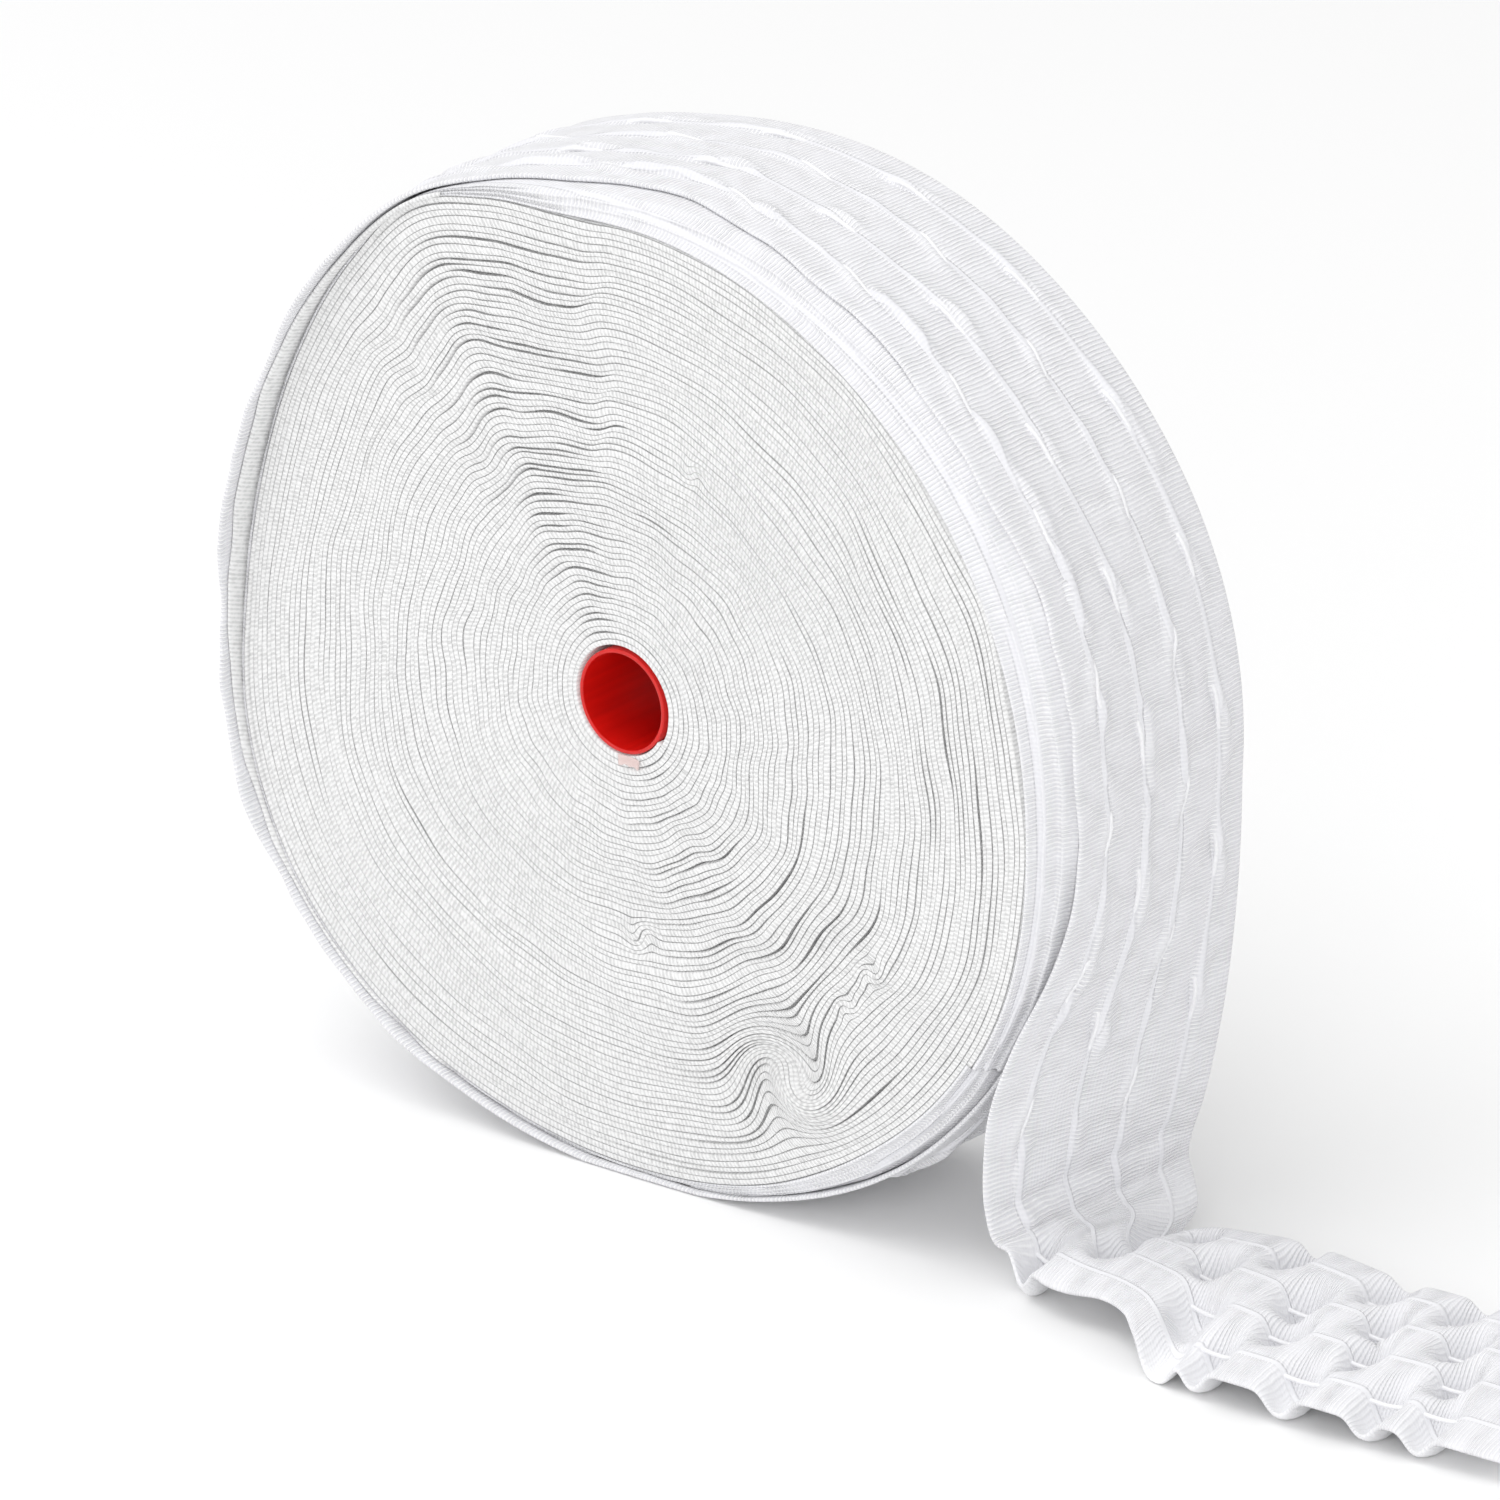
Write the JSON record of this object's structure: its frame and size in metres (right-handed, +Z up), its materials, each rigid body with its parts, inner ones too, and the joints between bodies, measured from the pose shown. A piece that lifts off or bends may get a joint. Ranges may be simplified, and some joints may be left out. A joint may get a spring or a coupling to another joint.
{
  "type": "roll of curtain heading tape",
  "caption": "Wide roll of white woven curtain heading tape on a red core, standing on its rim, with its loose end hanging and gathered on its draw cords.",
  "frame": {"origin": "on the standing surface, under the roll's axis and midway between the core's two ends", "axes": "+Z up, +Y along the roll's axis from the face that shows to the far face, +X towards the side on which the loose end lies"},
  "size_m": [0.4739, 0.1056, 0.3035],
  "materials": {
    "rolled_tape": "white woven polyester, wound selvedge to selvedge",
    "woven_tape": "white ribbed woven polyester with draw cords",
    "red_plastic": "smooth moulded plastic",
    "clear_film": "clear adhesive film"
  },
  "bodies": {
    "root": {"wound_roll": "rolled_tape", "loose_tape": "woven_tape", "core_tube": "red_plastic", "adhesive_scrap": "clear_film"}
  },
  "joints": []
}
